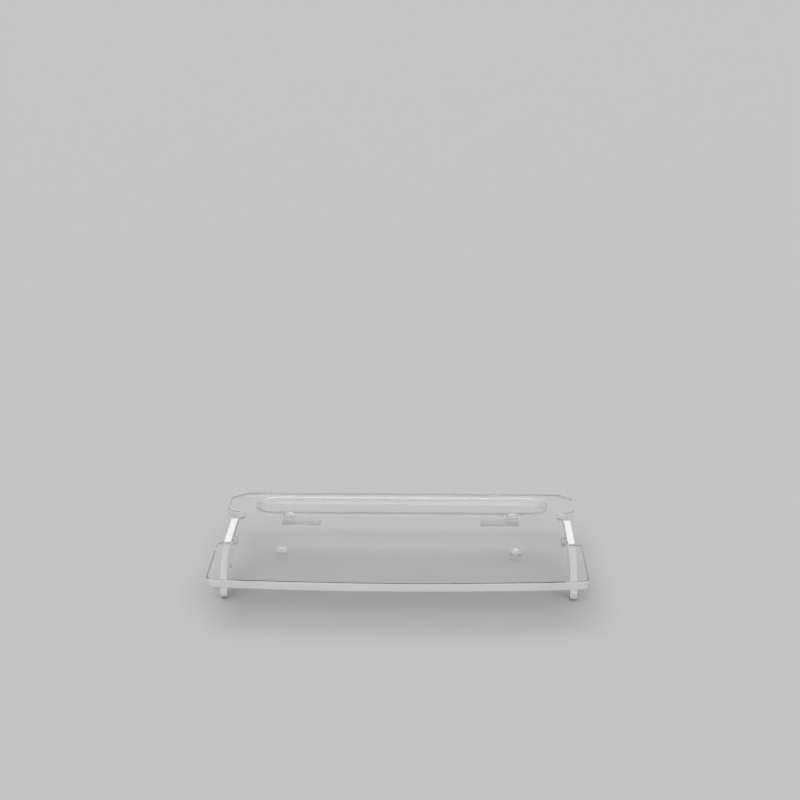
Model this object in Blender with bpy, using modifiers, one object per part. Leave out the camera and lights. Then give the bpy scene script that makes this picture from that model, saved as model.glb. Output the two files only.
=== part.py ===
"""Bike desk tray: a clear sheet that lies on a handlebar, with two hook plates in its side notches.

Units are metres. +Z is up, +Y points away from the rider and +X to the rider's right. The origin lies under the
middle of the tray, level with the lowest point of the hooks.

The panel and the hooks are cut from clear sheet. Each hook stands upright along Y. Its tongue fills the open
notch in the side of the panel, flush with the top, and its arm passes forward under the panel and curls over the
front bar of the handlebar. At the rear the panel lies on the cross bar.

Lengths along Y follow each other from the front edge: the ear, the tongue, the round pocket and the wing.
"""
import math

import bmesh
import bpy
from mathutils import Matrix, Vector

COLLECTION = "bike_desk_tray"

# Sheets and fits
PANEL_THICKNESS = 0.0098
HOOK_THICKNESS = 0.0083
GAP = 0.0003
PANEL_EDGE_ROUND = 0.0010
HOOK_EDGE_ROUND = 0.0012

# Panel outline. The ear is in front of the side notch and the wing behind it
PANEL_WIDTH = 0.4085
FRONT_BOW = 0.0105
FRONT_CORNER_RADIUS = 0.016
EAR_LENGTH = 0.1325
EAR_CORNER_RADIUS = 0.0078
WING_LENGTH = 0.0732
WING_CORNER_RADIUS = 0.013
REAR_CORNER_CUT_X = 0.0165
REAR_CORNER_CUT_Y = 0.018
REAR_CORNER_RADIUS = 0.004

# Side notches: the tongue's seat, the overcut at its front end and the round pocket behind it
TONGUE_LENGTH = 0.0854
HOOK_INSET = 0.0074
SEAT_CORNER_RADIUS = 0.0015
OVERCUT_DEPTH = 0.0058
OVERCUT_INTO_EAR = 0.0035
OVERCUT_WIDTH = 0.0205
OVERCUT_RADIUS = 0.003
POCKET_RADIUS = 0.0118
POCKET_DEPTH = 0.0058

# Rear slot, placed by the walls that it leaves
SLOT_WIDTH = 0.054
SLOT_REAR_WALL = 0.0185
SLOT_END_WALL = 0.0322

# Front bar that the hooks sit on and cross bar that the panel lies on
BAR_RADIUS = 0.0165
BAR_DROP = 0.049
BAR_BEFORE_TONGUE = 0.0133
CROSS_BAR_BEHIND_BAR = 0.093

# Hooks: angles are seen from the front bar's centre, from +Y up towards +Z
FINGER_END_ANGLE = math.radians(162)
HEEL_END_ANGLE = math.radians(35)
HEEL_THICKNESS = 0.008
HEEL_RISE_BEHIND_BAR = 0.069
HEEL_RISE_RADIUS = 0.010
TONGUE_FRONT_RADIUS = 0.0060
TONGUE_REAR_RADIUS = 0.0040
SHOULDER_RADIUS = 0.0010

# Liners, pads and bumpers
LINER_THICKNESS = 0.0015
LINER_SIDE_MARGIN = 0.0014
LINER_FRONT_ANGLE = math.radians(156)
LINER_REAR_ANGLE = math.radians(42)
LINER_EDGE_ROUND = 0.0003
BAR_PAD_LENGTH = 0.045
BAR_PAD_WIDTH = 0.018
BAR_PAD_THICKNESS = 0.0015
BAR_PAD_CENTRE_X = 0.115
BAR_PAD_CORNER_RADIUS = 0.004
BUMPER_DIAMETER = 0.014
BUMPER_HEIGHT = 0.003
BUMPER_EDGE_RADIUS = 0.0012
BUMPER_CENTRE_X = 0.1295
FRONT_BUMPER_FROM_FRONT = 0.1005
REAR_BUMPER_BEFORE_SLOT = 0.0175

# Facets
ARC_STEP = math.radians(9)
FINE_ARC_STEP = math.radians(6)
BOW_POINTS = 24
EDGE_ROUND_RESOLUTION = 1
TURNED_STEPS = 40
FLAT_FACE_LIMIT = 0.9999

# Places that follow from the sizes above
TONGUE_START = EAR_LENGTH + GAP
TONGUE_END = TONGUE_START + TONGUE_LENGTH
WING_START = TONGUE_END + 2 * POCKET_RADIUS
PANEL_DEPTH = WING_START + WING_LENGTH
SLOT_END = PANEL_DEPTH - SLOT_REAR_WALL
SLOT_START = SLOT_END - SLOT_WIDTH
BAR_FROM_FRONT = TONGUE_START - BAR_BEFORE_TONGUE
SIDE_X = PANEL_WIDTH / 2
HOOK_OUTER_X = SIDE_X - HOOK_INSET
HOOK_CENTRE_X = HOOK_OUTER_X - HOOK_THICKNESS / 2
SEAT_X = HOOK_OUTER_X - HOOK_THICKNESS - GAP
HOOK_INNER_RADIUS = BAR_RADIUS + LINER_THICKNESS + GAP
HOOK_OUTER_RADIUS = BAR_DROP - PANEL_THICKNESS - GAP
FINGER_THICKNESS = HOOK_OUTER_RADIUS - HOOK_INNER_RADIUS
FINGER_MIDDLE_RADIUS = (HOOK_OUTER_RADIUS + HOOK_INNER_RADIUS) / 2
HEEL_MIDDLE_RADIUS = HOOK_INNER_RADIUS + HEEL_THICKNESS / 2
HOOK_DROP = BAR_DROP - FINGER_MIDDLE_RADIUS * math.sin(FINGER_END_ANGLE) + FINGER_THICKNESS / 2
PANEL_TOP = HOOK_DROP


def along(from_front):
    """Y of a place that is given by its distance from the panel's front edge."""
    return from_front - PANEL_DEPTH / 2


def clear_scene():
    for item in list(bpy.data.objects):
        bpy.data.objects.remove(item, do_unlink=True)
    for group in list(bpy.data.collections):
        bpy.data.collections.remove(group)


def clear_material(name, colour, roughness, transmission):
    material = bpy.data.materials.new(name)
    material.use_nodes = True
    shader = material.node_tree.nodes["Principled BSDF"]
    shader.inputs["Base Color"].default_value = (*colour, 1.0)
    shader.inputs["Roughness"].default_value = roughness
    shader.inputs["Metallic"].default_value = 0.0
    shader.inputs["Transmission Weight"].default_value = transmission
    shader.inputs["IOR"].default_value = 1.49
    return material


def arc(centre, radius, start, end, step=ARC_STEP):
    """Points on an arc, both ends included, anticlockwise where end is above start."""
    count = max(2, math.ceil(abs(end - start) / step))
    angles = [start + (end - start) * index / count for index in range(count + 1)]
    return [centre + radius * Vector((math.cos(angle), math.sin(angle))) for angle in angles]


def fillet(before, corner, after, radius):
    """Points of the arc that rounds one corner, kept within half of each side that meets there."""
    to_before = (before - corner).normalized()
    to_after = (after - corner).normalized()
    half_angle = to_before.angle(to_after) / 2
    shortest = min((before - corner).length, (after - corner).length)
    reach = min(radius / math.tan(half_angle), 0.49 * shortest)
    radius = reach * math.tan(half_angle)
    centre = corner + (to_before + to_after).normalized() * (radius / math.sin(half_angle))
    first = corner + to_before * reach - centre
    last = corner + to_after * reach - centre
    start = math.atan2(first.y, first.x)
    turn = first.angle_signed(last)
    return arc(centre, radius, start, start - turn)


def rounded(corners):
    """Outline from (point, radius) corners. A radius of 0 keeps the point as it is."""
    points = []
    for index, (corner, radius) in enumerate(corners):
        if radius == 0:
            points.append(corner)
            continue
        before = corners[index - 1][0]
        after = corners[(index + 1) % len(corners)][0]
        points.extend(fillet(before, corner, after, radius))
    return points


def plain(points):
    """Points of an arc as corners that are not rounded any further."""
    return [(point, 0) for point in points]


def sheet_object(name, outlines, thickness, edge_round, material):
    """A flat piece cut from sheet: filled outlines in the XY plane, half the thickness each way along Z."""
    curve = bpy.data.curves.new(name, "CURVE")
    curve.dimensions = "2D"
    curve.fill_mode = "BOTH"
    curve.extrude = thickness / 2 - edge_round
    curve.bevel_depth = edge_round
    curve.bevel_resolution = EDGE_ROUND_RESOLUTION
    curve.offset = -edge_round
    for outline in outlines:
        spline = curve.splines.new("POLY")
        spline.points.add(len(outline) - 1)
        for point, place in zip(spline.points, outline):
            point.co = (place.x, place.y, 0, 1)
        spline.use_cyclic_u = True
    guide = bpy.data.objects.new(name + "_outline", curve)
    bpy.context.scene.collection.objects.link(guide)
    bpy.context.view_layer.update()
    evaluated = guide.evaluated_get(bpy.context.evaluated_depsgraph_get())
    mesh = bpy.data.meshes.new_from_object(evaluated)
    bpy.data.objects.remove(guide, do_unlink=True)
    bpy.data.curves.remove(curve)
    shape = bmesh.new()
    shape.from_mesh(mesh)
    bmesh.ops.remove_doubles(shape, verts=shape.verts, dist=0.00001)
    bmesh.ops.recalc_face_normals(shape, faces=shape.faces)
    shape.to_mesh(mesh)
    shape.free()
    mesh.name = name
    item = finished_object(name, mesh, material)
    for face in mesh.polygons:
        face.use_smooth = abs(face.normal.z) < FLAT_FACE_LIMIT
    return item


def finished_object(name, mesh, material):
    mesh.materials.clear()
    mesh.materials.append(material)
    mesh.shade_smooth()
    mesh.set_sharp_from_angle(angle=math.radians(32))
    item = bpy.data.objects.new(name, mesh)
    bpy.data.collections[COLLECTION].objects.link(item)
    return item


def front_edge():
    """Bowed front edge from the right corner to the left one, as points of one large arc."""
    corner_x = SIDE_X
    radius = (corner_x ** 2 + FRONT_BOW ** 2) / (2 * FRONT_BOW)
    points = []
    for index in range(BOW_POINTS + 1):
        x = corner_x * (1 - 2 * index / BOW_POINTS)
        sag = radius - math.sqrt(radius ** 2 - x ** 2)
        points.append(Vector((x, along(sag))))
    return points


def side_outline():
    """Corners of the panel's right side, from the front corner to the rear edge."""
    ear_y = along(EAR_LENGTH)
    overcut_x = SEAT_X - OVERCUT_DEPTH
    overcut_front = ear_y - OVERCUT_INTO_EAR
    seat_front = overcut_front + OVERCUT_WIDTH
    wing_y = along(WING_START)
    pocket = Vector((SEAT_X - POCKET_DEPTH + POCKET_RADIUS, wing_y - POCKET_RADIUS))
    meets_seat = math.acos((SEAT_X - pocket.x) / POCKET_RADIUS)
    wing_corner = Vector((SIDE_X - WING_CORNER_RADIUS, wing_y + WING_CORNER_RADIUS))
    to_corner = wing_corner - pocket
    leaves = math.atan2(to_corner.y, to_corner.x)
    leaves += math.acos((POCKET_RADIUS + WING_CORNER_RADIUS) / to_corner.length)
    rear_y = along(PANEL_DEPTH)
    return [
        (Vector((SIDE_X, ear_y)), EAR_CORNER_RADIUS),
        (Vector((SEAT_X, ear_y)), 0),
        (Vector((SEAT_X, overcut_front)), 0),
        (Vector((overcut_x, overcut_front)), OVERCUT_RADIUS),
        (Vector((overcut_x, seat_front)), OVERCUT_RADIUS),
        (Vector((SEAT_X, seat_front)), SEAT_CORNER_RADIUS),
        *plain(arc(pocket, POCKET_RADIUS, 2 * math.pi - meets_seat, leaves)),
        *plain(arc(wing_corner, WING_CORNER_RADIUS, leaves - math.pi, 0)),
        (Vector((SIDE_X, rear_y - REAR_CORNER_CUT_Y)), REAR_CORNER_RADIUS),
        (Vector((SIDE_X - REAR_CORNER_CUT_X, rear_y)), REAR_CORNER_RADIUS),
    ]


def mirrored(corners):
    return [(Vector((-point.x, point.y)), radius) for point, radius in reversed(corners)]


def panel_outline():
    right = side_outline()
    bow = front_edge()
    corners = [*right, *mirrored(right)]
    corners.append((bow[-1], FRONT_CORNER_RADIUS))
    inside_corners = [point for point in bow if abs(point.x) < SIDE_X - 1.2 * FRONT_CORNER_RADIUS]
    corners.extend(plain(reversed(inside_corners)))
    corners.append((bow[0], FRONT_CORNER_RADIUS))
    return rounded(corners)


def slot_outline():
    """Round-ended slot behind the middle of the panel."""
    radius = SLOT_WIDTH / 2
    end = Vector((SIDE_X - SLOT_END_WALL - radius, along(SLOT_START + radius)))
    right = arc(end, radius, -math.pi / 2, math.pi / 2)
    left = arc(Vector((-end.x, end.y)), radius, math.pi / 2, 3 * math.pi / 2)
    return [*right, *left]


def make_panel():
    material = clear_material("panel_acrylic", (0.90, 0.92, 0.92), 0.03, 1.0)
    outlines = [panel_outline(), slot_outline()]
    panel = sheet_object("tray_panel", outlines, PANEL_THICKNESS, PANEL_EDGE_ROUND, material)
    panel.location.z = PANEL_TOP - PANEL_THICKNESS / 2
    return panel


def hook_outline():
    """Side view of a hook: Y runs along the bike and the second coordinate is the height above the panel's top."""
    bar = Vector((along(BAR_FROM_FRONT), -BAR_DROP))
    tongue_front = along(TONGUE_START)
    tongue_rear = along(TONGUE_END)
    underside = -PANEL_THICKNESS
    shoulder = underside - GAP

    finger_way = Vector((math.cos(FINGER_END_ANGLE), math.sin(FINGER_END_ANGLE)))
    finger_end = bar + FINGER_MIDDLE_RADIUS * finger_way
    finger_round = arc(finger_end, FINGER_THICKNESS / 2, FINGER_END_ANGLE, FINGER_END_ANGLE + math.pi)

    heel_way = Vector((math.cos(HEEL_END_ANGLE), math.sin(HEEL_END_ANGLE)))
    heel_end = bar + HEEL_MIDDLE_RADIUS * heel_way
    rise = Vector((bar.x + HEEL_RISE_BEHIND_BAR, underside))
    to_rise = rise - heel_end
    leaves = math.atan2(to_rise.y, to_rise.x) - math.acos(HEEL_THICKNESS / 2 / to_rise.length)
    heel_round = arc(heel_end, HEEL_THICKNESS / 2, HEEL_END_ANGLE - math.pi, leaves)

    outer = arc(bar, HOOK_OUTER_RADIUS, math.pi / 2, FINGER_END_ANGLE, FINE_ARC_STEP)
    inner = arc(bar, HOOK_INNER_RADIUS, FINGER_END_ANGLE, HEEL_END_ANGLE, FINE_ARC_STEP)
    corners = [
        (Vector((tongue_rear, 0)), TONGUE_REAR_RADIUS),
        (Vector((tongue_front, 0)), TONGUE_FRONT_RADIUS),
        (Vector((tongue_front, shoulder)), SHOULDER_RADIUS),
        *plain(outer),
        *plain(finger_round[1:-1]),
        *plain(inner),
        *plain(heel_round[1:]),
        (rise, HEEL_RISE_RADIUS),
        (Vector((tongue_rear, underside)), 0),
    ]
    return rounded(corners)


def stand_along_y(item, x, z):
    """Turns a piece drawn in the XY plane upright, so that its X runs along Y and its Y runs up."""
    item.matrix_world = Matrix.Translation((x, 0, z)) @ Matrix(((0, 0, 1), (1, 0, 0), (0, 1, 0))).to_4x4()


def make_hooks():
    material = clear_material("hook_acrylic", (0.90, 0.92, 0.92), 0.04, 1.0)
    outline = hook_outline()
    for side, sign in (("left", -1), ("right", 1)):
        hook = sheet_object("hook_" + side, [outline], HOOK_THICKNESS, HOOK_EDGE_ROUND, material)
        stand_along_y(hook, sign * HOOK_CENTRE_X, PANEL_TOP)


def liner_outline():
    """Strip along the inside of a hook, with round ends."""
    bar = Vector((along(BAR_FROM_FRONT), -BAR_DROP))
    inner_radius = BAR_RADIUS
    middle_radius = inner_radius + LINER_THICKNESS / 2
    front_way = Vector((math.cos(LINER_FRONT_ANGLE), math.sin(LINER_FRONT_ANGLE)))
    rear_way = Vector((math.cos(LINER_REAR_ANGLE), math.sin(LINER_REAR_ANGLE)))
    outer = arc(bar, inner_radius + LINER_THICKNESS, LINER_REAR_ANGLE, LINER_FRONT_ANGLE, FINE_ARC_STEP)
    front_end = arc(bar + middle_radius * front_way, LINER_THICKNESS / 2, LINER_FRONT_ANGLE,
                    LINER_FRONT_ANGLE + math.pi, math.radians(45))
    inner = arc(bar, inner_radius, LINER_FRONT_ANGLE, LINER_REAR_ANGLE, FINE_ARC_STEP)
    rear_end = arc(bar + middle_radius * rear_way, LINER_THICKNESS / 2, LINER_REAR_ANGLE - math.pi,
                   LINER_REAR_ANGLE, math.radians(45))
    return [*outer, *front_end[1:-1], *inner, *rear_end[1:-1]]


def make_liners():
    material = clear_material("liner_silicone", (0.86, 0.87, 0.86), 0.35, 0.6)
    outline = liner_outline()
    width = HOOK_THICKNESS - 2 * LINER_SIDE_MARGIN
    for side, sign in (("left", -1), ("right", 1)):
        liner = sheet_object("saddle_liner_" + side, [outline], width, LINER_EDGE_ROUND, material)
        stand_along_y(liner, sign * HOOK_CENTRE_X, PANEL_TOP)


def make_bar_pads():
    material = clear_material("pad_silicone", (0.86, 0.87, 0.86), 0.35, 0.6)
    half_length = BAR_PAD_LENGTH / 2
    half_width = BAR_PAD_WIDTH / 2
    corners = [(half_length, -half_width), (half_length, half_width), (-half_length, half_width),
               (-half_length, -half_width)]
    outline = rounded([(Vector(corner), BAR_PAD_CORNER_RADIUS) for corner in corners])
    for side, sign in (("left", -1), ("right", 1)):
        pad = sheet_object("bar_pad_" + side, [outline], BAR_PAD_THICKNESS, LINER_EDGE_ROUND, material)
        height = PANEL_TOP - PANEL_THICKNESS - GAP - BAR_PAD_THICKNESS / 2
        pad.location = (sign * BAR_PAD_CENTRE_X, along(BAR_FROM_FRONT + CROSS_BAR_BEHIND_BAR), height)


def bumper_mesh():
    """Low round bumper: a half section turned about Z, from the middle of its top down to its base."""
    radius = BUMPER_DIAMETER / 2
    shoulder = Vector((radius - BUMPER_EDGE_RADIUS, BUMPER_HEIGHT - BUMPER_EDGE_RADIUS))
    profile = [Vector((0, BUMPER_HEIGHT)), *arc(shoulder, BUMPER_EDGE_RADIUS, math.pi / 2, 0, math.radians(22.5)),
               Vector((radius, 0)), Vector((0, 0))]
    mesh = bpy.data.meshes.new("bumper")
    vertices = [(point.x, 0, point.y) for point in profile]
    edges = [(index, index + 1) for index in range(len(profile) - 1)]
    mesh.from_pydata(vertices, edges, [])
    return mesh


def make_bumpers():
    material = clear_material("bumper_silicone", (0.88, 0.89, 0.88), 0.25, 0.7)
    rows = (("front", FRONT_BUMPER_FROM_FRONT), ("rear", SLOT_START - REAR_BUMPER_BEFORE_SLOT))
    for row, from_front in rows:
        for side, sign in (("left", -1), ("right", 1)):
            bumper = finished_object("bumper_{}_{}".format(row, side), bumper_mesh(), material)
            screw = bumper.modifiers.new("Turned", "SCREW")
            screw.steps = TURNED_STEPS
            screw.render_steps = TURNED_STEPS
            screw.use_merge_vertices = True
            screw.merge_threshold = 0.00001
            screw.use_smooth_shade = True
            bumper.location = (sign * BUMPER_CENTRE_X, along(from_front), PANEL_TOP + GAP)


def main():
    clear_scene()
    bpy.context.scene.collection.children.link(bpy.data.collections.new(COLLECTION))
    make_panel()
    make_hooks()
    make_liners()
    make_bar_pads()
    make_bumpers()


main()
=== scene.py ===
"""Looks of the bike desk tray: a clear acrylic panel, two upright hook plates, and clear silicone pads.

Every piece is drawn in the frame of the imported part, in metres: X to the rider's right, Y away from the
rider and Z up. The outlines are those of the part, with finer steps, so that light bends through smooth
rims and round cuts.
"""

import math

import bmesh
import bpy
from mathutils import Matrix, Vector


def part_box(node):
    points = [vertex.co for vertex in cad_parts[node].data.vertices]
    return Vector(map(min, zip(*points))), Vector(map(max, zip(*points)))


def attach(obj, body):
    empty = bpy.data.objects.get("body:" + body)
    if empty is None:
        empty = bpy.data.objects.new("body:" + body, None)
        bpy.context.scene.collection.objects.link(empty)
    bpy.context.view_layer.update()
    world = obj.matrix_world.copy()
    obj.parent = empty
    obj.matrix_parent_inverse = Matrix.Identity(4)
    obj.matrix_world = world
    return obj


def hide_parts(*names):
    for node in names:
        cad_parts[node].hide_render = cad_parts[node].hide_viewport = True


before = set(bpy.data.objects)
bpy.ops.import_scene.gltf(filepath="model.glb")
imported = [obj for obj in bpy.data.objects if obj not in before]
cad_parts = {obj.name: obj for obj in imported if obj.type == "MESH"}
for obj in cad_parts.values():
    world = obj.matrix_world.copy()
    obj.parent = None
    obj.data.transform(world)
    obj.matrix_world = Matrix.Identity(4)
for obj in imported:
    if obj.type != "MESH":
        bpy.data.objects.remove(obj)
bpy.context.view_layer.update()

# Sheets and fits
PANEL_THICKNESS = 0.0098
HOOK_THICKNESS = 0.0083
GAP = 0.0003
PANEL_RIM_ROUND = 0.0010
HOOK_RIM_ROUND = 0.0012

# Panel outline: the ear is in front of the side notch and the wing behind it
PANEL_WIDTH = 0.4085
FRONT_BOW = 0.0105
FRONT_CORNER_RADIUS = 0.016
EAR_LENGTH = 0.1325
EAR_CORNER_RADIUS = 0.0078
WING_LENGTH = 0.0732
WING_CORNER_RADIUS = 0.013
REAR_CORNER_CUT_X = 0.0165
REAR_CORNER_CUT_Y = 0.018
REAR_CORNER_RADIUS = 0.004

# Side notch
TONGUE_LENGTH = 0.0854
HOOK_INSET = 0.0074
SEAT_CORNER_RADIUS = 0.0015
OVERCUT_DEPTH = 0.0058
OVERCUT_INTO_EAR = 0.0035
OVERCUT_WIDTH = 0.0205
OVERCUT_RADIUS = 0.003
POCKET_RADIUS = 0.0118
POCKET_DEPTH = 0.0058

# Rear slot
SLOT_WIDTH = 0.054
SLOT_REAR_WALL = 0.0185
SLOT_END_WALL = 0.0322

# Bars that the tray lies on
BAR_RADIUS = 0.0165
BAR_DROP = 0.049
BAR_BEFORE_TONGUE = 0.0133
CROSS_BAR_BEHIND_BAR = 0.093

# Hooks: angles are seen from the front bar's centre, from +Y up towards +Z
FINGER_END_ANGLE = math.radians(162)
HEEL_END_ANGLE = math.radians(35)
HEEL_THICKNESS = 0.008
HEEL_RISE_BEHIND_BAR = 0.069
HEEL_RISE_RADIUS = 0.010
TONGUE_FRONT_RADIUS = 0.0060
TONGUE_REAR_RADIUS = 0.0040
SHOULDER_RADIUS = 0.0014

# Saddle liners, with grip ribs across them. The plain end before the first rib is in rib pitches
LINER_THICKNESS = 0.0015
LINER_SIDE_MARGIN = 0.0014
LINER_FRONT_ANGLE = math.radians(156)
LINER_REAR_ANGLE = math.radians(42)
LINER_RIM_ROUND = 0.0003
LINER_RIB_PITCH = math.radians(6)
LINER_RIB_HEIGHT = 0.00035
LINER_RIB_SHAPE = 0.6
LINER_PLAIN_END = 0.5

# Pads that lie on the cross bar
BAR_PAD_LENGTH = 0.045
BAR_PAD_WIDTH = 0.018
BAR_PAD_THICKNESS = 0.0015
BAR_PAD_CENTRE_X = 0.115
BAR_PAD_CORNER_RADIUS = 0.004
BAR_PAD_GROOVE_RADIUS = 0.00055
BAR_PAD_GROOVE_DEPTH = 0.0004
BAR_PAD_GROOVE_PITCH = 0.0024
BAR_PAD_GROOVES = 5

# Bumpers that a laptop stands on
BUMPER_RADIUS = 0.007
BUMPER_HEIGHT = 0.003
BUMPER_SHOULDER_RADIUS = 0.0012
BUMPER_CENTRE_X = 0.1295
FRONT_BUMPER_FROM_FRONT = 0.1005
REAR_BUMPER_BEFORE_SLOT = 0.0175
BUMPER_DISH_RADIUS = 0.0036
BUMPER_DISH_DEPTH = 0.00022
BUMPER_FOOT_RADIUS = 0.0003

# Adhesive film in the gaps
FILM_CLEARANCE = 0.00004
FILM_INSET = 0.0006
FILM_RIM_ROUND = 0.00004

# Fineness
ARC_STEP = math.radians(3)
FINE_ARC_STEP = math.radians(1.5)
LINER_ARC_STEP = math.radians(0.75)
LINER_END_STEP = math.radians(15)
STEPS_PER_RIB = 10
BOW_POINTS = 144
RIM_SEGMENTS = 4
TURNED_STEPS = 96
BUMPER_SHOULDER_STEP = math.radians(10)
BUMPER_FOOT_STEP = math.radians(22.5)
DISH_STEPS = 10
GROOVE_STEPS = 32
SHARP_EDGE = math.radians(32)
FLAT_FACE_LIMIT = 0.9999
WELD_DISTANCE = 0.000002
LEVEL = 0.0000001

# A corner's rounding takes at most this share of its shorter side, and the bow's own points stop this many
# corner radii before its ends
LONGEST_REACH = 0.49
BOW_END_MARGIN = 1.2

# Places that follow from the sizes above
TONGUE_START = EAR_LENGTH + GAP
TONGUE_END = TONGUE_START + TONGUE_LENGTH
WING_START = TONGUE_END + 2 * POCKET_RADIUS
PANEL_DEPTH = WING_START + WING_LENGTH
SLOT_END = PANEL_DEPTH - SLOT_REAR_WALL
SLOT_START = SLOT_END - SLOT_WIDTH
BAR_FROM_FRONT = TONGUE_START - BAR_BEFORE_TONGUE
SIDE_X = PANEL_WIDTH / 2
HOOK_OUTER_X = SIDE_X - HOOK_INSET
HOOK_CENTRE_X = HOOK_OUTER_X - HOOK_THICKNESS / 2
SEAT_X = HOOK_OUTER_X - HOOK_THICKNESS - GAP
HOOK_INNER_RADIUS = BAR_RADIUS + LINER_THICKNESS + GAP
HOOK_OUTER_RADIUS = BAR_DROP - PANEL_THICKNESS - GAP
FINGER_THICKNESS = HOOK_OUTER_RADIUS - HOOK_INNER_RADIUS
FINGER_MIDDLE_RADIUS = (HOOK_OUTER_RADIUS + HOOK_INNER_RADIUS) / 2
HEEL_MIDDLE_RADIUS = HOOK_INNER_RADIUS + HEEL_THICKNESS / 2
PANEL_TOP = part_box("tray_panel")[1].z
PANEL_UNDERSIDE = PANEL_TOP - PANEL_THICKNESS
SIDES = (("left", -1), ("right", 1))

# Ways that a piece lies: as drawn, or upright with its X along Y and its Y upwards
FLAT = Matrix.Identity(4)
UPRIGHT = Matrix(((0, 0, 1), (1, 0, 0), (0, 1, 0))).to_4x4()

# Acrylic. A grain is a noise's number of features in a metre, and a spread is where the noise starts to
# show and where it is full
ACRYLIC_IOR = 1.49
ACRYLIC_TONE = 0.988
ACRYLIC_ROUGHNESS = 0.004
ACRYLIC_DEPTH_TONE = (0.65, 0.65, 0.655, 1.0)
ACRYLIC_DEPTH_DENSITY = 2.5
SMUDGE_GRAIN = 14.0
SMUDGE_SPREAD = (0.45, 0.75)
SMUDGE_ROUGHNESS = 0.012
HAIRLINE_GRAIN = (9.0, 1400.0, 1400.0)
HAIRLINE_TURN = (0.4, 0.3, 0.6)
HAIRLINE_SPREAD = (0.70, 0.76)
HAIRLINE_ROUGHNESS = 0.05
HAIRLINE_DEPTH = 0.02
RIPPLE_GRAIN = 1400.0
RIPPLE_GRAIN_THROUGH = 90.0
RIPPLE_ROUGHNESS = 0.02
RIPPLE_DEPTH = 0.02
SWELL_GRAIN = 70.0
SWELL_DEPTH = 0.5
RELIEF = 0.0001
CLEAR_RELIEF_STRENGTH = 0.2
CLEAR_CUT_ROUGHNESS = 0.24
SATIN_RELIEF_STRENGTH = 0.5
SATIN_ROUGHNESS = 0.45
SATIN_TONES = (0.94, 0.97)

# Cut edges: how much of their light they scatter, how much of that goes on through, and how squarely the
# surface faces out of the sheet where their satin fades and where it ends
PANEL_CUT_HAZE = 0.60
PANEL_CUT_THROUGH = 0.3
PANEL_SATIN_FADE = (0.20, 0.60)
HOOK_CUT_HAZE = 0.95
HOOK_CUT_THROUGH = 0.1
HOOK_SATIN_FADE = (0.60, 0.95)

# Silicone, and the adhesive film that holds it
SILICONE_IOR = 1.41
SILICONE_RELIEF = 0.00005
SILICONE_RELIEF_STRENGTH = 0.4
MOULD_GRAIN = 900.0
MOULD_ROUGHNESS = 0.12
CLOUD_GRAIN = 160.0
CLOUD_SPREAD = (0.35, 0.7)
CLOUD_SHADE = 0.93
PAD_TONE = (0.97, 0.97, 0.965, 1.0)
PAD_HAZE = 0.12
PAD_ROUGHNESS = 0.20
BUMPER_TONE = (0.98, 0.98, 0.975, 1.0)
BUMPER_HAZE = 0.10
BUMPER_ROUGHNESS = 0.12
FILM_IOR = 1.06
FILM_ROUGHNESS = 0.03
FILM_TONE = 0.98
BUBBLE_GRAIN = 1200.0
BUBBLE_SPREAD = (0.55, 0.7)
BUBBLE_ROUGHNESS = 0.10
BUBBLE_TONE = 0.92

# Studio glow: an even ring low down all round, a belt above it with its shade at the sides, and the ceiling.
# Directions are parts of a unit vector, so a height is the sine of an angle above the horizon
RING_GLOW = 0.56
FRONT_GLOW = 2.3
REAR_GLOW = 0.8
SIDE_SHADE = 0.95
CEILING_GLOW = 0.96
RING_TO_BELT = (0.28, 0.42)
BELT_TO_CEILING = (0.60, 0.88)
FRONT_TO_REAR = (-0.6, 0.2)
MIDDLE_TO_SIDE = (0.45, 0.75)

# Broad light from above, and the floor
HIGH_LIGHT = 0.6
HIGH_LIGHT_FALLS = (0.25, -0.35, -1.0)
HIGH_LIGHT_SPREAD = math.radians(50)
FLOOR_HALF = 40.0
FLOOR_TONE = 0.52
FLOOR_ROUGHNESS = 0.9
FLOOR_SHEEN = 0.2

# Bounces that let light pass the sheets, their rims and what lies behind them
CLEAR_BOUNCES = 24
GLOSSY_BOUNCES = 12

# Camera of the photograph
CAMERA_PLACE = (0.041, -2.1530, 0.78176)
CAMERA_YAW = math.radians(1.08)
CAMERA_PITCH = math.radians(-14.894)
CAMERA_LENS = 90.18
CAMERA_SENSOR = 36.0
CAMERA_NEAR = 0.05
CAMERA_FAR = 200.0


def along(from_front):
    """Y of a place that is given by its distance from the panel's front edge."""
    return from_front - PANEL_DEPTH / 2


def arc(centre, radius, start, end, step=ARC_STEP):
    """Points on an arc, both ends included, anticlockwise where end is above start."""
    count = max(2, math.ceil(abs(end - start) / step))
    angles = [start + (end - start) * index / count for index in range(count + 1)]
    return [centre + radius * Vector((math.cos(angle), math.sin(angle))) for angle in angles]


def fillet(before, corner, after, radius):
    """Points of the arc that rounds one corner, kept within half of each side that meets there."""
    to_before = (before - corner).normalized()
    to_after = (after - corner).normalized()
    half_angle = to_before.angle(to_after) / 2
    shortest = min((before - corner).length, (after - corner).length)
    reach = min(radius / math.tan(half_angle), LONGEST_REACH * shortest)
    radius = reach * math.tan(half_angle)
    centre = corner + (to_before + to_after).normalized() * (radius / math.sin(half_angle))
    first = corner + to_before * reach - centre
    last = corner + to_after * reach - centre
    start = math.atan2(first.y, first.x)
    turn = first.angle_signed(last)
    return arc(centre, radius, start, start - turn)


def rounded(corners):
    """Outline from (point, radius) corners. A radius of 0 keeps the point as it is."""
    points = []
    for index, (corner, radius) in enumerate(corners):
        if radius == 0:
            points.append(corner)
            continue
        before = corners[index - 1][0]
        after = corners[(index + 1) % len(corners)][0]
        points.extend(fillet(before, corner, after, radius))
    return points


def plain(points):
    """Points of an arc as corners that are not rounded any further."""
    return [(point, 0) for point in points]


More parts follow.
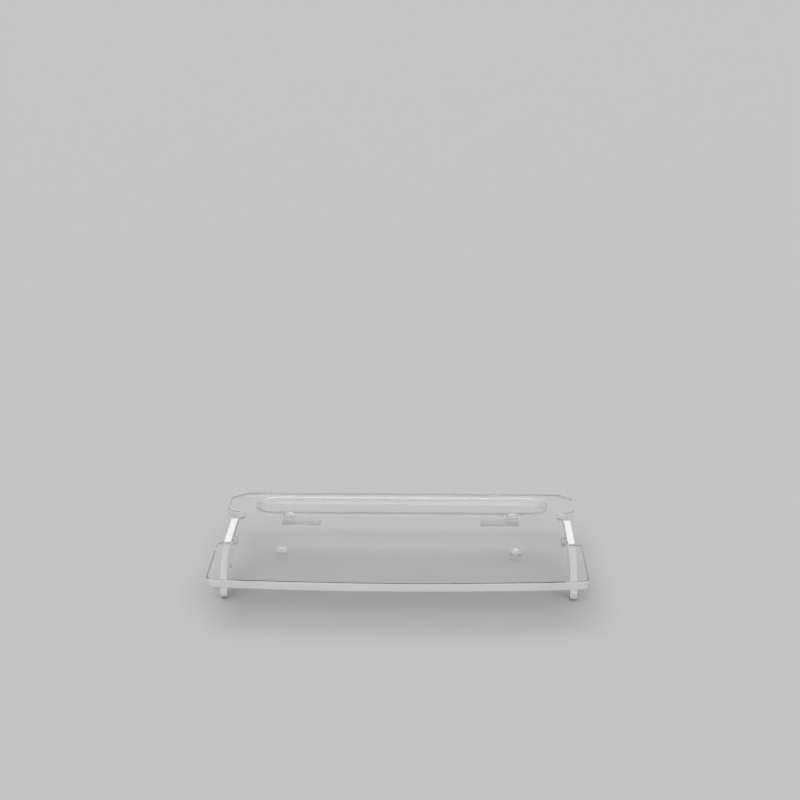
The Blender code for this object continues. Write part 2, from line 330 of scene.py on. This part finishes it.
def front_edge():
    """Bowed front edge from the right corner to the left one, as points of one large arc."""
    radius = (SIDE_X ** 2 + FRONT_BOW ** 2) / (2 * FRONT_BOW)
    points = []
    for index in range(BOW_POINTS + 1):
        x = SIDE_X * (1 - 2 * index / BOW_POINTS)
        sag = radius - math.sqrt(radius ** 2 - x ** 2)
        points.append(Vector((x, along(sag))))
    return points


def side_outline():
    """Corners of the panel's right side, from the front corner to the rear edge."""
    ear_y = along(EAR_LENGTH)
    overcut_x = SEAT_X - OVERCUT_DEPTH
    overcut_front = ear_y - OVERCUT_INTO_EAR
    seat_front = overcut_front + OVERCUT_WIDTH
    wing_y = along(WING_START)
    pocket = Vector((SEAT_X - POCKET_DEPTH + POCKET_RADIUS, wing_y - POCKET_RADIUS))
    meets_seat = math.acos((SEAT_X - pocket.x) / POCKET_RADIUS)
    wing_corner = Vector((SIDE_X - WING_CORNER_RADIUS, wing_y + WING_CORNER_RADIUS))
    to_corner = wing_corner - pocket
    leaves = math.atan2(to_corner.y, to_corner.x)
    leaves += math.acos((POCKET_RADIUS + WING_CORNER_RADIUS) / to_corner.length)
    rear_y = along(PANEL_DEPTH)
    return [
        (Vector((SIDE_X, ear_y)), EAR_CORNER_RADIUS),
        (Vector((SEAT_X, ear_y)), 0),
        (Vector((SEAT_X, overcut_front)), 0),
        (Vector((overcut_x, overcut_front)), OVERCUT_RADIUS),
        (Vector((overcut_x, seat_front)), OVERCUT_RADIUS),
        (Vector((SEAT_X, seat_front)), SEAT_CORNER_RADIUS),
        *plain(arc(pocket, POCKET_RADIUS, 2 * math.pi - meets_seat, leaves)),
        *plain(arc(wing_corner, WING_CORNER_RADIUS, leaves - math.pi, 0)[1:]),
        (Vector((SIDE_X, rear_y - REAR_CORNER_CUT_Y)), REAR_CORNER_RADIUS),
        (Vector((SIDE_X - REAR_CORNER_CUT_X, rear_y)), REAR_CORNER_RADIUS),
    ]


def mirrored(corners):
    return [(Vector((-point.x, point.y)), radius) for point, radius in reversed(corners)]


def panel_outline():
    right = side_outline()
    bow = front_edge()
    corners = [*right, *mirrored(right)]
    corners.append((bow[-1], FRONT_CORNER_RADIUS))
    bow_end = SIDE_X - BOW_END_MARGIN * FRONT_CORNER_RADIUS
    inside_corners = [point for point in bow if abs(point.x) < bow_end]
    corners.extend(plain(reversed(inside_corners)))
    corners.append((bow[0], FRONT_CORNER_RADIUS))
    return rounded(corners)


def slot_outline():
    """Round-ended slot behind the middle of the panel."""
    radius = SLOT_WIDTH / 2
    end = Vector((SIDE_X - SLOT_END_WALL - radius, along(SLOT_START + radius)))
    right = arc(end, radius, -math.pi / 2, math.pi / 2)
    left = arc(Vector((-end.x, end.y)), radius, math.pi / 2, 3 * math.pi / 2)
    return [*right, *left]


def bar_centre():
    """Front bar's axis in the side view: Y, and the height above the panel's top."""
    return Vector((along(BAR_FROM_FRONT), -BAR_DROP))


def toward(angle):
    return Vector((math.cos(angle), math.sin(angle)))


def crest(angle):
    """Raised cosine: 1 at whole turns and 0 halfway between them."""
    return 0.5 + 0.5 * math.cos(angle)


def hook_outline():
    """Side view of a hook: Y, and the height above the panel's top."""
    bar = bar_centre()
    tongue_front = along(TONGUE_START)
    tongue_rear = along(TONGUE_END)
    shoulder = -PANEL_THICKNESS - GAP
    finger_end = bar + FINGER_MIDDLE_RADIUS * toward(FINGER_END_ANGLE)
    finger_round = arc(finger_end, FINGER_THICKNESS / 2, FINGER_END_ANGLE, FINGER_END_ANGLE + math.pi)
    heel_end = bar + HEEL_MIDDLE_RADIUS * toward(HEEL_END_ANGLE)
    rise = Vector((bar.x + HEEL_RISE_BEHIND_BAR, -PANEL_THICKNESS))
    to_rise = rise - heel_end
    leaves = math.atan2(to_rise.y, to_rise.x) - math.acos(HEEL_THICKNESS / 2 / to_rise.length)
    heel_round = arc(heel_end, HEEL_THICKNESS / 2, HEEL_END_ANGLE - math.pi, leaves)
    outer = arc(bar, HOOK_OUTER_RADIUS, math.pi / 2, FINGER_END_ANGLE, FINE_ARC_STEP)
    inner = arc(bar, HOOK_INNER_RADIUS, FINGER_END_ANGLE, HEEL_END_ANGLE, FINE_ARC_STEP)
    corners = [
        (Vector((tongue_rear, 0)), TONGUE_REAR_RADIUS),
        (Vector((tongue_front, 0)), TONGUE_FRONT_RADIUS),
        (Vector((tongue_front, shoulder)), SHOULDER_RADIUS),
        *plain(outer),
        *plain(finger_round[1:-1]),
        *plain(inner),
        *plain(heel_round[1:]),
        (rise, HEEL_RISE_RADIUS),
        (Vector((tongue_rear, -PANEL_THICKNESS)), 0),
    ]
    return rounded(corners)


def strip_outline(inner_radius, outer_radius, rear, front, rib_height=0.0):
    """Strip round the bar with round ends. Ribs stand across its inner side."""
    bar = bar_centre()
    middle = (inner_radius + outer_radius) / 2
    half = (outer_radius - inner_radius) / 2
    outer = arc(bar, outer_radius, rear, front, LINER_ARC_STEP)
    front_end = arc(bar + middle * toward(front), half, front, front + math.pi, LINER_END_STEP)
    rear_end = arc(bar + middle * toward(rear), half, rear - math.pi, rear, LINER_END_STEP)
    steps = math.ceil((front - rear) / (LINER_RIB_PITCH / STEPS_PER_RIB))
    inner = []
    for index in range(steps + 1):
        angle = front + (rear - front) * index / steps
        from_end = min(angle - rear, front - angle)
        fade = min(1.0, max(0.0, from_end / LINER_RIB_PITCH - LINER_PLAIN_END))
        trough = crest(2 * math.pi * (angle - rear) / LINER_RIB_PITCH) ** LINER_RIB_SHAPE
        inner.append(bar + (inner_radius + rib_height * fade * trough) * toward(angle))
    return [*outer, *front_end[1:-1], *inner, *rear_end[1:-1]]


def rectangle_outline(length, width, radius):
    half_length = length / 2
    half_width = width / 2
    corners = [(half_length, -half_width), (half_length, half_width), (-half_length, half_width),
               (-half_length, -half_width)]
    return rounded([(Vector(corner), radius) for corner in corners])


def finished(name, mesh, material, way):
    """Object at the origin, its mesh in the part's frame, smooth round its rims and flat on its faces."""
    mesh.name = name
    mesh.materials.clear()
    mesh.materials.append(material)
    mesh.shade_smooth()
    mesh.set_sharp_from_angle(angle=SHARP_EDGE)
    for face in mesh.polygons:
        face.use_smooth = abs(face.normal.z) < FLAT_FACE_LIMIT
    mesh.transform(way)
    item = bpy.data.objects.new(name, mesh)
    bpy.context.scene.collection.objects.link(item)
    return item


def even_out_faces(shape, thickness):
    """Turns edges inside the two flat faces of a sheet, so that no triangle there is needlessly thin."""
    half = thickness / 2
    flat = [face for face in shape.faces if all(abs(abs(vert.co.z) - half) < LEVEL for vert in face.verts)]
    members = set(flat)
    inside = [edge for edge in shape.edges if members.issuperset(edge.link_faces)]
    bmesh.ops.beautify_fill(shape, faces=flat, edges=inside)


def cut_sheet(name, outlines, thickness, rim_round, material, way, segments=RIM_SEGMENTS):
    """Piece cut from flat sheet: filled outlines, half the thickness to each side, with round rims."""
    curve = bpy.data.curves.new(name, "CURVE")
    curve.dimensions = "2D"
    curve.fill_mode = "BOTH"
    curve.extrude = thickness / 2 - rim_round
    curve.bevel_depth = rim_round
    curve.bevel_resolution = segments
    curve.offset = -rim_round
    for outline in outlines:
        spline = curve.splines.new("POLY")
        spline.points.add(len(outline) - 1)
        for point, place in zip(spline.points, outline):
            point.co = (place.x, place.y, 0, 1)
        spline.use_cyclic_u = True
    guide = bpy.data.objects.new(name + "_outline", curve)
    bpy.context.scene.collection.objects.link(guide)
    bpy.context.view_layer.update()
    evaluated = guide.evaluated_get(bpy.context.evaluated_depsgraph_get())
    mesh = bpy.data.meshes.new_from_object(evaluated)
    bpy.data.objects.remove(guide, do_unlink=True)
    bpy.data.curves.remove(curve)
    shape = bmesh.new()
    shape.from_mesh(mesh)
    bmesh.ops.remove_doubles(shape, verts=shape.verts, dist=WELD_DISTANCE)
    even_out_faces(shape, thickness)
    bmesh.ops.recalc_face_normals(shape, faces=shape.faces)
    shape.to_mesh(mesh)
    shape.free()
    return finished(name, mesh, material, way)


def turned(name, profile, material, way):
    """Piece turned about Z from the half section profile, whose first and last points lie on the axis."""
    shape = bmesh.new()
    angles = [2 * math.pi * step / TURNED_STEPS for step in range(TURNED_STEPS)]
    rings = []
    for radius, height in profile:
        if radius == 0:
            rings.append([shape.verts.new((0, 0, height))])
            continue
        rings.append([shape.verts.new((radius * math.cos(a), radius * math.sin(a), height)) for a in angles])
    for upper, lower in zip(rings, rings[1:]):
        for step in range(TURNED_STEPS):
            following = (step + 1) % TURNED_STEPS
            corners = [upper[step % len(upper)], lower[step % len(lower)], lower[following % len(lower)],
                       upper[following % len(upper)]]
            shape.faces.new(list(dict.fromkeys(corners)))
    bmesh.ops.recalc_face_normals(shape, faces=shape.faces)
    mesh = bpy.data.meshes.new(name)
    shape.to_mesh(mesh)
    shape.free()
    return finished(name, mesh, material, way)


class Signal:
    """Output of a node. Arithmetic on it adds Math nodes."""

    def __init__(self, recipe, socket):
        self.recipe = recipe
        self.socket = socket

    def math(self, operation, first, second=0.0):
        return self.recipe.add("ShaderNodeMath", {"operation": operation}, {0: first, 1: second})

    def __add__(self, other):
        return self.math("ADD", self, other)

    def __radd__(self, other):
        return self.math("ADD", other, self)

    def __sub__(self, other):
        return self.math("SUBTRACT", self, other)

    def __rsub__(self, other):
        return self.math("SUBTRACT", other, self)

    def __mul__(self, other):
        return self.math("MULTIPLY", self, other)

    def __rmul__(self, other):
        return self.math("MULTIPLY", other, self)

    def __abs__(self):
        return self.math("ABSOLUTE", self)


class Recipe:
    """Adds the nodes of one material or of the world."""

    def __init__(self, owner):
        owner.use_nodes = True
        self.tree = owner.node_tree
        self.tree.nodes.clear()

    def add(self, kind, settings=None, values=None, output=0):
        """Adds a node, sets what it is, sets or links its sockets, and gives one of its outputs."""
        node = self.tree.nodes.new(kind)
        for name, value in (settings or {}).items():
            setattr(node, name, value)
        for name, value in (values or {}).items():
            if isinstance(value, Signal):
                self.tree.links.new(value.socket, node.inputs[name])
            else:
                node.inputs[name].default_value = value
        return Signal(self, node.outputs[output]) if node.outputs else None

    def stretched(self, place, scale):
        """Coordinates multiplied by a scale of their own along each axis."""
        return self.add("ShaderNodeVectorMath", {"operation": "MULTIPLY"}, {0: place, 1: scale})

    def noise(self, place, scale, detail=3.0, roughness=0.5):
        values = {"Vector": place, "Scale": scale, "Detail": detail, "Roughness": roughness}
        return self.add("ShaderNodeTexNoise", {}, values)

    def between(self, value, low, high, to_low=0.0, to_high=1.0):
        """The value's way from low to high, held at both ends."""
        values = {"Value": value, "From Min": low, "From Max": high, "To Min": to_low, "To Max": to_high}
        return self.add("ShaderNodeMapRange", {"interpolation_type": "SMOOTHSTEP"}, values)

    def blend_colours(self, share, first, second):
        """Goes from the first colour to the second. The node keeps sockets of these numbers for colours."""
        values = {0: share, 6: first, 7: second}
        return self.add("ShaderNodeMix", {"data_type": "RGBA"}, values, output=2)

    def relief(self, height, distance, strength):
        values = {"Strength": strength, "Distance": distance, "Height": height}
        return self.add("ShaderNodeBump", {}, values)

    def coordinate(self, vector, axis):
        return self.add("ShaderNodeSeparateXYZ", {}, {"Vector": vector}, output=axis)


def grey(tone):
    return (tone, tone, tone, 1.0)


def place_in_piece(recipe):
    return recipe.add("ShaderNodeTexCoord", output="Object")


def across_sheet(recipe, axis):
    """How squarely the surface faces out of the sheet: 1 on its two faces and 0 on its cut edges."""
    normal = recipe.add("ShaderNodeTexCoord", output="Normal")
    return abs(recipe.coordinate(normal, axis))


def clear_acrylic(name, axis, cut_haze, cut_through, satin_fade):
    """Cast acrylic with glossy faces and satin cut edges. The axis is the one across the sheet."""
    material = bpy.data.materials.new(name)
    recipe = Recipe(material)
    place = place_in_piece(recipe)
    face = recipe.between(across_sheet(recipe, axis), *satin_fade)
    edge = 1 - face

    # Wipe marks and hair-fine scratches on the faces
    smudge = recipe.between(recipe.noise(place, SMUDGE_GRAIN, detail=4.0, roughness=0.6), *SMUDGE_SPREAD)
    hair_way = recipe.add("ShaderNodeVectorRotate", {"rotation_type": "EULER_XYZ"},
                          {"Vector": place, "Rotation": HAIRLINE_TURN})
    hair = recipe.noise(recipe.stretched(hair_way, HAIRLINE_GRAIN), scale=1.0, detail=2.0)
    hairline = recipe.between(hair, *HAIRLINE_SPREAD)

    # Faint ripple that the cutter leaves through the thickness of the edge, and its slow swell along it
    ripple_grain = [RIPPLE_GRAIN_THROUGH if letter == axis else RIPPLE_GRAIN for letter in "XYZ"]
    ripple = recipe.noise(recipe.stretched(place, tuple(ripple_grain)), scale=1.0, detail=2.0)
    swell = recipe.noise(place, SWELL_GRAIN, detail=1.0)

    # Clear finish, as on the faces
    height = edge * (ripple * RIPPLE_DEPTH + swell * SWELL_DEPTH) + face * hairline * HAIRLINE_DEPTH
    relief = recipe.relief(height, RELIEF, CLEAR_RELIEF_STRENGTH)
    on_face = smudge * SMUDGE_ROUGHNESS + hairline * HAIRLINE_ROUGHNESS
    on_edge = CLEAR_CUT_ROUGHNESS + ripple * RIPPLE_ROUGHNESS
    roughness = ACRYLIC_ROUGHNESS + face * on_face + edge * on_edge
    clear = recipe.add("ShaderNodeBsdfPrincipled", {}, {
        "Base Color": grey(ACRYLIC_TONE), "Roughness": roughness, "IOR": ACRYLIC_IOR,
        "Transmission Weight": 1.0, "Normal": relief})

    # Satin finish of the cut edges
    tone = recipe.blend_colours(ripple, grey(SATIN_TONES[0]), grey(SATIN_TONES[1]))
    relief = recipe.relief(ripple + swell, RELIEF, SATIN_RELIEF_STRENGTH)
    satin = recipe.add("ShaderNodeBsdfPrincipled", {}, {
        "Base Color": tone, "Roughness": SATIN_ROUGHNESS, "IOR": ACRYLIC_IOR,
        "Transmission Weight": cut_through, "Normal": relief})

    surface = recipe.add("ShaderNodeMixShader", {}, {0: edge * cut_haze, 1: clear, 2: satin})
    depth = recipe.add("ShaderNodeVolumeAbsorption", {},
                       {"Color": ACRYLIC_DEPTH_TONE, "Density": ACRYLIC_DEPTH_DENSITY})
    recipe.add("ShaderNodeOutputMaterial", {}, {"Surface": surface, "Volume": depth})
    return material


def clear_silicone(name, tone, haze, roughness):
    """Soft moulded silicone: clear, with a little haze and the satin of its mould."""
    material = bpy.data.materials.new(name)
    recipe = Recipe(material)
    place = place_in_piece(recipe)
    mould = recipe.noise(place, MOULD_GRAIN, roughness=0.6)
    cloud = recipe.between(recipe.noise(place, CLOUD_GRAIN, detail=2.0), *CLOUD_SPREAD)
    shaded = (*(CLOUD_SHADE * part for part in tone[:3]), 1.0)
    relief = recipe.relief(mould, SILICONE_RELIEF, SILICONE_RELIEF_STRENGTH)
    values = {"Base Color": recipe.blend_colours(cloud, tone, shaded), "IOR": SILICONE_IOR,
              "Roughness": roughness + mould * MOULD_ROUGHNESS, "Transmission Weight": 1.0 - haze,
              "Normal": relief}
    soft = recipe.add("ShaderNodeBsdfPrincipled", {}, values)
    recipe.add("ShaderNodeOutputMaterial", {}, {"Surface": soft})
    return material


def adhesive_film(name):
    """Clear film with small bubbles under it."""
    material = bpy.data.materials.new(name)
    recipe = Recipe(material)
    place = place_in_piece(recipe)
    bubbles = recipe.between(recipe.noise(place, BUBBLE_GRAIN, detail=2.0), *BUBBLE_SPREAD)
    tone = recipe.blend_colours(bubbles, grey(FILM_TONE), grey(BUBBLE_TONE))
    values = {"Base Color": tone, "Roughness": FILM_ROUGHNESS + bubbles * BUBBLE_ROUGHNESS, "IOR": FILM_IOR,
              "Transmission Weight": 1.0}
    film = recipe.add("ShaderNodeBsdfPrincipled", {}, values)
    recipe.add("ShaderNodeOutputMaterial", {}, {"Surface": film})
    return material


def studio_floor():
    """Matt paint that shows from above only, so that the tray can be seen from below."""
    material = bpy.data.materials.new("studio_floor")
    recipe = Recipe(material)
    paint = recipe.add("ShaderNodeBsdfPrincipled", {}, {
        "Base Color": grey(FLOOR_TONE), "Roughness": FLOOR_ROUGHNESS, "Specular IOR Level": FLOOR_SHEEN})
    unseen = recipe.add("ShaderNodeBsdfTransparent")
    from_below = recipe.add("ShaderNodeNewGeometry", output="Backfacing")
    surface = recipe.add("ShaderNodeMixShader", {}, {0: from_below, 1: paint, 2: unseen})
    recipe.add("ShaderNodeOutputMaterial", {}, {"Surface": surface})
    return material


def dress(item, body, slot, *nodes):
    """A piece rides on its body and stands for its nodes. The slot is not used."""
    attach(item, body)
    if nodes:
        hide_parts(*nodes)


def make_panel():
    acrylic = clear_acrylic("panel_clear_acrylic", "Z", PANEL_CUT_HAZE, PANEL_CUT_THROUGH, PANEL_SATIN_FADE)
    outlines = [panel_outline(), slot_outline()]
    way = Matrix.Translation((0, 0, PANEL_TOP - PANEL_THICKNESS / 2))
    panel = cut_sheet("panel", outlines, PANEL_THICKNESS, PANEL_RIM_ROUND, acrylic, way)
    dress(panel, "tray", "panel_acrylic", "tray_panel")


def make_hooks():
    acrylic = clear_acrylic("hook_clear_acrylic", "X", HOOK_CUT_HAZE, HOOK_CUT_THROUGH, HOOK_SATIN_FADE)
    outline = hook_outline()
    for side, sign in SIDES:
        way = Matrix.Translation((sign * HOOK_CENTRE_X, 0, PANEL_TOP)) @ UPRIGHT
        hook = cut_sheet("hook_plate_" + side, [outline], HOOK_THICKNESS, HOOK_RIM_ROUND, acrylic, way)
        dress(hook, side + "_hook", "hook_acrylic", "hook_" + side)


def cut_film(name, outline, thickness, material, way):
    return cut_sheet(name, [outline], thickness, FILM_RIM_ROUND, material, way, segments=1)


def make_liners():
    silicone = clear_silicone("liner_clear_silicone", PAD_TONE, PAD_HAZE, PAD_ROUGHNESS)
    film = adhesive_film("liner_film")
    width = HOOK_THICKNESS - 2 * LINER_SIDE_MARGIN
    strip = strip_outline(BAR_RADIUS, BAR_RADIUS + LINER_THICKNESS, LINER_REAR_ANGLE, LINER_FRONT_ANGLE,
                          LINER_RIB_HEIGHT)
    inner = BAR_RADIUS + LINER_THICKNESS + FILM_CLEARANCE
    outer = HOOK_INNER_RADIUS - FILM_CLEARANCE
    margin = FILM_INSET / BAR_RADIUS
    behind = strip_outline(inner, outer, LINER_REAR_ANGLE + margin, LINER_FRONT_ANGLE - margin)
    for side, sign in SIDES:
        way = Matrix.Translation((sign * HOOK_CENTRE_X, 0, PANEL_TOP)) @ UPRIGHT
        liner = cut_sheet("saddle_strip_" + side, [strip], width, LINER_RIM_ROUND, silicone, way)
        dress(liner, side + "_hook", "liner_silicone", "saddle_liner_" + side)
        tape = cut_film("saddle_film_" + side, behind, width - 2 * FILM_INSET, film, way)
        dress(tape, side + "_hook", "liner_silicone")


def pad_grooves():
    """Round bars side by side, as the cutter of the grooves under a pad."""
    shape = bmesh.new()
    length = BAR_PAD_LENGTH - 2 * BAR_PAD_CORNER_RADIUS
    for index in range(BAR_PAD_GROOVES):
        y = (index - (BAR_PAD_GROOVES - 1) / 2) * BAR_PAD_GROOVE_PITCH
        z = -BAR_PAD_THICKNESS / 2 + BAR_PAD_GROOVE_DEPTH - BAR_PAD_GROOVE_RADIUS
        place = Matrix.Translation((0, y, z)) @ Matrix.Rotation(math.pi / 2, 4, "Y")
        bmesh.ops.create_cone(shape, cap_ends=True, segments=GROOVE_STEPS, radius1=BAR_PAD_GROOVE_RADIUS,
                              radius2=BAR_PAD_GROOVE_RADIUS, depth=length, matrix=place)
    mesh = bpy.data.meshes.new("pad_grooves")
    shape.to_mesh(mesh)
    shape.free()
    cutter = bpy.data.objects.new("pad_grooves", mesh)
    bpy.context.scene.collection.objects.link(cutter)
    return cutter


def make_bar_pads():
    """Pads with grooves cut into their undersides, and the film above each."""
    silicone = clear_silicone("pad_clear_silicone", PAD_TONE, PAD_HAZE, PAD_ROUGHNESS)
    film = adhesive_film("pad_film")
    outline = rectangle_outline(BAR_PAD_LENGTH, BAR_PAD_WIDTH, BAR_PAD_CORNER_RADIUS)
    film_outline = rectangle_outline(BAR_PAD_LENGTH - 2 * FILM_INSET, BAR_PAD_WIDTH - 2 * FILM_INSET,
                                     BAR_PAD_CORNER_RADIUS - FILM_INSET)
    pad_y = along(BAR_FROM_FRONT + CROSS_BAR_BEHIND_BAR)
    for side, sign in SIDES:
        blank = cut_sheet("pad_blank", [outline], BAR_PAD_THICKNESS, LINER_RIM_ROUND, silicone, FLAT)
        cutter = pad_grooves()
        cut = blank.modifiers.new("Grooves", "BOOLEAN")
        cut.operation = "DIFFERENCE"
        cut.solver = "EXACT"
        cut.object = cutter
        bpy.context.view_layer.update()
        mesh = bpy.data.meshes.new_from_object(blank.evaluated_get(bpy.context.evaluated_depsgraph_get()))
        bpy.data.objects.remove(blank, do_unlink=True)
        bpy.data.objects.remove(cutter, do_unlink=True)
        height = PANEL_UNDERSIDE - GAP - BAR_PAD_THICKNESS / 2
        way = Matrix.Translation((sign * BAR_PAD_CENTRE_X, pad_y, height))
        pad = finished("ribbed_pad_" + side, mesh, silicone, way)
        dress(pad, "tray", "pad_silicone", "bar_pad_" + side)
        way = Matrix.Translation((sign * BAR_PAD_CENTRE_X, pad_y, PANEL_UNDERSIDE - GAP / 2))
        tape = cut_film("pad_film_" + side, film_outline, GAP - 2 * FILM_CLEARANCE, film, way)
        dress(tape, "tray", "pad_silicone")


def bumper_profile():
    """Half section from the middle of the top to the middle of the base, with a shallow dish in the top."""
    points = []
    for index in range(DISH_STEPS + 1):
        share = index / DISH_STEPS
        depth = BUMPER_DISH_DEPTH * crest(math.pi * share)
        points.append((BUMPER_DISH_RADIUS * share, BUMPER_HEIGHT - depth))
    shoulder = Vector((BUMPER_RADIUS - BUMPER_SHOULDER_RADIUS, BUMPER_HEIGHT - BUMPER_SHOULDER_RADIUS))
    foot = Vector((BUMPER_RADIUS - BUMPER_FOOT_RADIUS, BUMPER_FOOT_RADIUS))
    rounding = [*arc(shoulder, BUMPER_SHOULDER_RADIUS, math.pi / 2, 0, BUMPER_SHOULDER_STEP),
                *arc(foot, BUMPER_FOOT_RADIUS, 0, -math.pi / 2, BUMPER_FOOT_STEP)]
    points.extend(tuple(point) for point in rounding)
    points.append((0, 0))
    return points


def make_bumpers():
    silicone = clear_silicone("bumper_clear_silicone", BUMPER_TONE, BUMPER_HAZE, BUMPER_ROUGHNESS)
    film = adhesive_film("bumper_film")
    film_radius = BUMPER_RADIUS - FILM_INSET
    film_depth = GAP - 2 * FILM_CLEARANCE
    film_profile = [(0, film_depth), (film_radius, film_depth), (film_radius, 0), (0, 0)]
    rows = (("front", FRONT_BUMPER_FROM_FRONT), ("rear", SLOT_START - REAR_BUMPER_BEFORE_SLOT))
    for row, from_front in rows:
        for side, sign in SIDES:
            place = Vector((sign * BUMPER_CENTRE_X, along(from_front), PANEL_TOP))
            label = "{}_{}".format(row, side)
            way = Matrix.Translation(place + Vector((0, 0, GAP)))
            bumper = turned("dished_bumper_" + label, bumper_profile(), silicone, way)
            dress(bumper, "tray", "bumper_silicone", "bumper_" + label)
            way = Matrix.Translation(place + Vector((0, 0, FILM_CLEARANCE)))
            tape = turned("bumper_film_" + label, film_profile, film, way)
            dress(tape, "tray", "bumper_silicone")


def make_camera():
    camera = bpy.data.objects.new("camera", bpy.data.cameras.new("camera"))
    bpy.context.scene.collection.objects.link(camera)
    camera.data.lens = CAMERA_LENS
    camera.data.sensor_width = CAMERA_SENSOR
    camera.data.clip_start = CAMERA_NEAR
    camera.data.clip_end = CAMERA_FAR
    camera.location = CAMERA_PLACE
    level = math.cos(CAMERA_PITCH)
    looks = Vector((-math.sin(CAMERA_YAW) * level, math.cos(CAMERA_YAW) * level, math.sin(CAMERA_PITCH)))
    camera.rotation_mode = "QUATERNION"
    camera.rotation_quaternion = looks.to_track_quat("-Z", "Y")
    bpy.context.scene.camera = camera


def broad_light(name, falls, spread, strength):
    """Even light from one direction, as from a large softbox far away."""
    lamp = bpy.data.lights.new(name, "SUN")
    lamp.energy = strength
    lamp.angle = spread
    item = bpy.data.objects.new(name, lamp)
    bpy.context.scene.collection.objects.link(item)
    item.rotation_mode = "QUATERNION"
    item.rotation_quaternion = Vector(falls).to_track_quat("-Z", "Y")


def make_studio():
    corners = [(x * FLOOR_HALF, y * FLOOR_HALF, 0) for x, y in ((-1, -1), (1, -1), (1, 1), (-1, 1))]
    mesh = bpy.data.meshes.new("floor")
    mesh.from_pydata(corners, [], [(0, 1, 2, 3)])
    mesh.materials.append(studio_floor())
    floor = bpy.data.objects.new("floor", mesh)
    bpy.context.scene.collection.objects.link(floor)

    world = bpy.data.worlds.new("studio")
    bpy.context.scene.world = world
    recipe = Recipe(world)
    way = recipe.add("ShaderNodeTexCoord", output="Generated")
    depth = recipe.coordinate(way, "Y")
    height = recipe.coordinate(way, "Z")
    across = abs(recipe.coordinate(way, "X"))
    shade = SIDE_SHADE * recipe.between(across, *MIDDLE_TO_SIDE)
    belt = recipe.between(depth, *FRONT_TO_REAR, FRONT_GLOW, REAR_GLOW) * (1 - shade)
    wall = RING_GLOW + (belt - RING_GLOW) * recipe.between(height, *RING_TO_BELT)
    glow = wall + (CEILING_GLOW - wall) * recipe.between(height, *BELT_TO_CEILING)
    light = recipe.add("ShaderNodeBackground", {}, {"Color": grey(1.0), "Strength": glow})
    recipe.add("ShaderNodeOutputWorld", {}, {"Surface": light})

    broad_light("high_light", HIGH_LIGHT_FALLS, HIGH_LIGHT_SPREAD, HIGH_LIGHT)
    bpy.context.scene.view_settings.view_transform = "Standard"
    bpy.context.scene.cycles.max_bounces = CLEAR_BOUNCES
    bpy.context.scene.cycles.transmission_bounces = CLEAR_BOUNCES
    bpy.context.scene.cycles.transparent_max_bounces = CLEAR_BOUNCES
    bpy.context.scene.cycles.glossy_bounces = GLOSSY_BOUNCES


make_panel()
make_hooks()
make_liners()
make_bar_pads()
make_bumpers()
make_camera()
make_studio()
